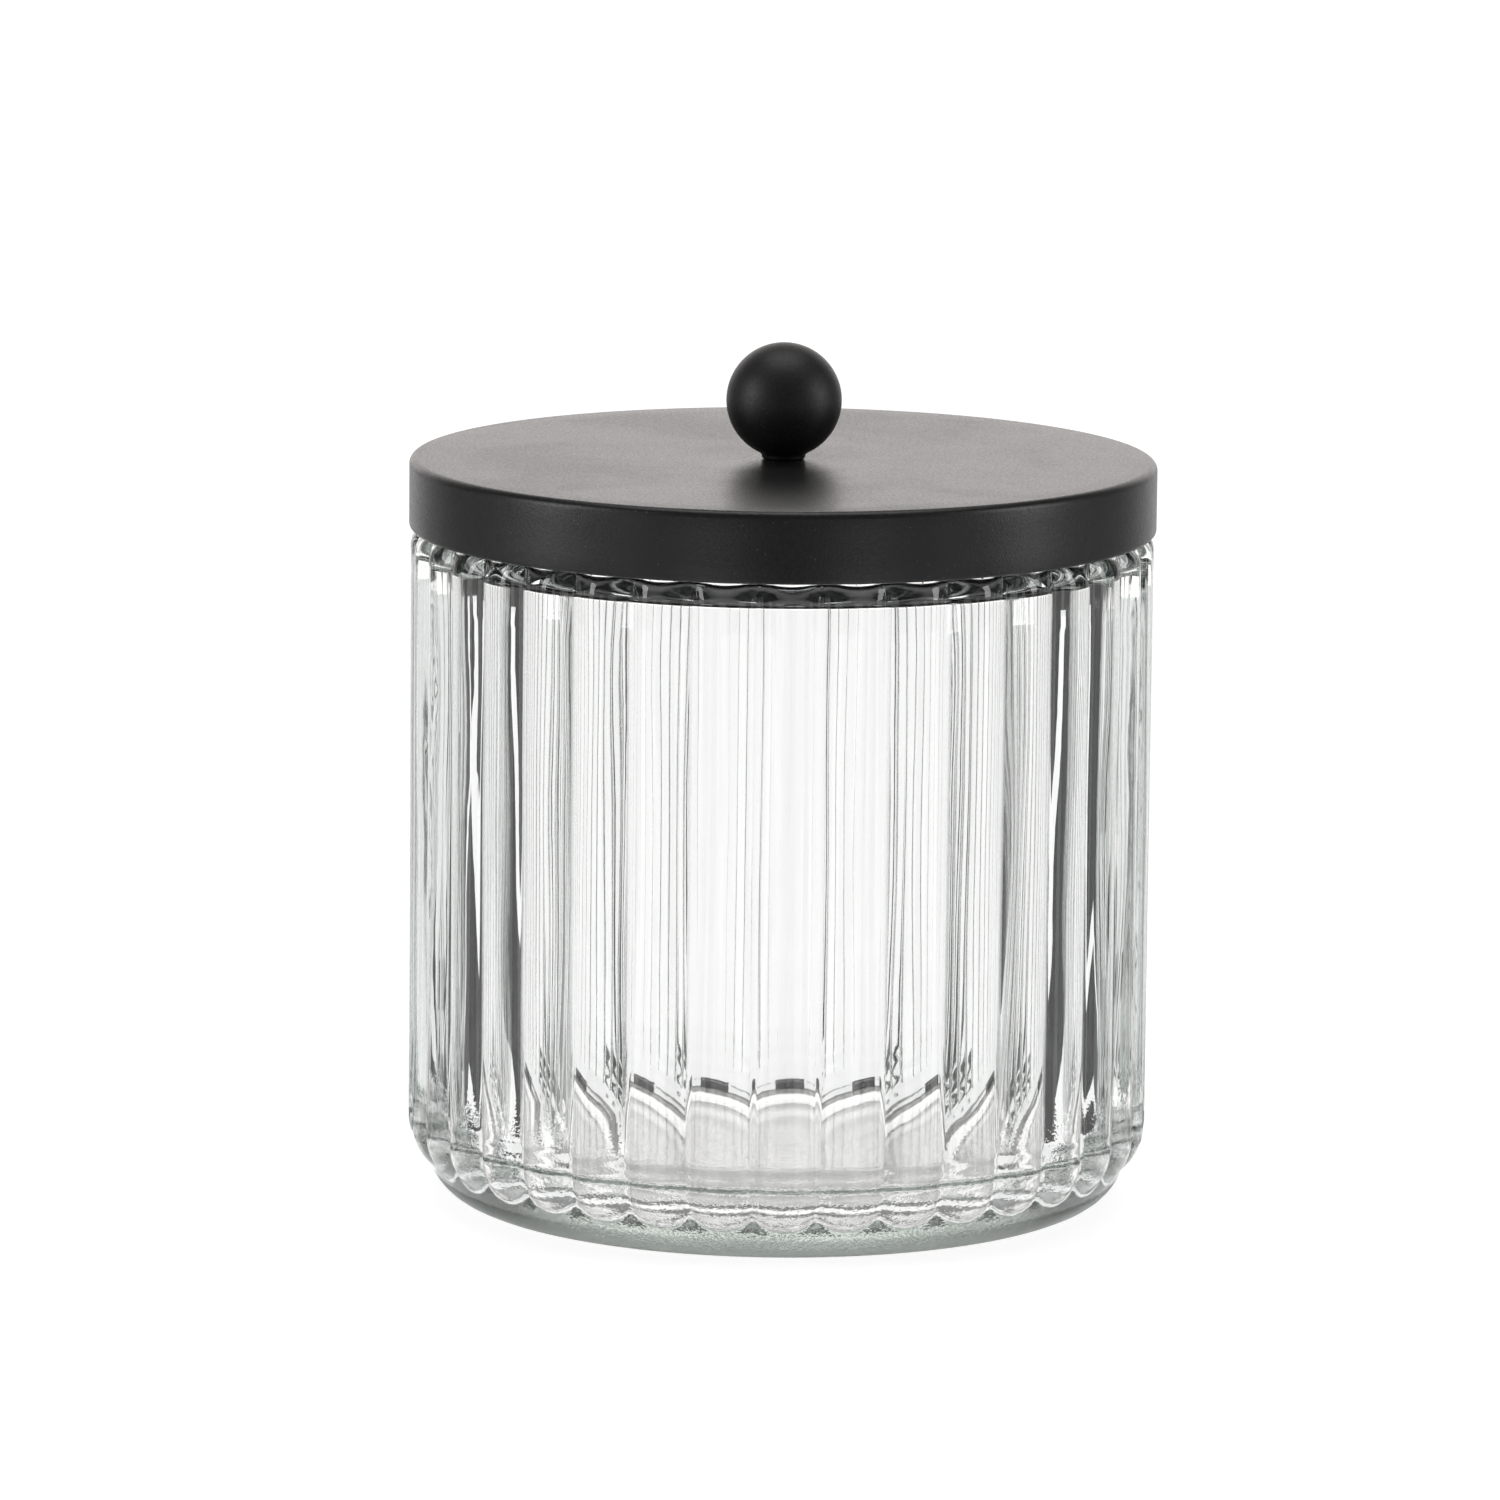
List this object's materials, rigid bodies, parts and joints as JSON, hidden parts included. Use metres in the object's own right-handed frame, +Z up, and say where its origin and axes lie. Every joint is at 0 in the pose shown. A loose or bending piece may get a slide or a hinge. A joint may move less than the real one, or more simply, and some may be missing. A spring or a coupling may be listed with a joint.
{
  "type": "apothecary jar",
  "caption": "Clear fluted glass jar with a flat black metal drop-on lid, a soft seal ring and a black ball knob.",
  "frame": {"origin": "centre of the foot ring, on the surface that the jar stands on", "axes": "+Z up along the axis of the jar, lid and knob; +Y away from the viewer, a rib crest faces -Y"},
  "size_m": [0.099, 0.099, 0.1143],
  "materials": {
    "glass": "fire-polished pressed glass, clear",
    "black_metal": "satin black powder coat",
    "silicone": "dark grey moulded silicone",
    "zinc_steel": "bright zinc plate"
  },
  "bodies": {
    "jar": {"glass_jar": "glass"},
    "seal": {"lid_seal": "silicone"},
    "lid": {"lid_shell": "black_metal", "knob": "black_metal", "knob_screw": "zinc_steel", "screw_washer": "zinc_steel"}
  },
  "joints": [
    {"name": "lid_lift", "type": "slide", "parent": "jar", "child": "seal", "axis": [0, 0, 1], "range_m": [0, 0.08]},
    {"name": "lid_turn", "type": "hinge", "parent": "seal", "child": "lid", "pos_m": [0, 0, 0.0962], "axis": [0, 0, 1], "continuous": true}
  ]
}
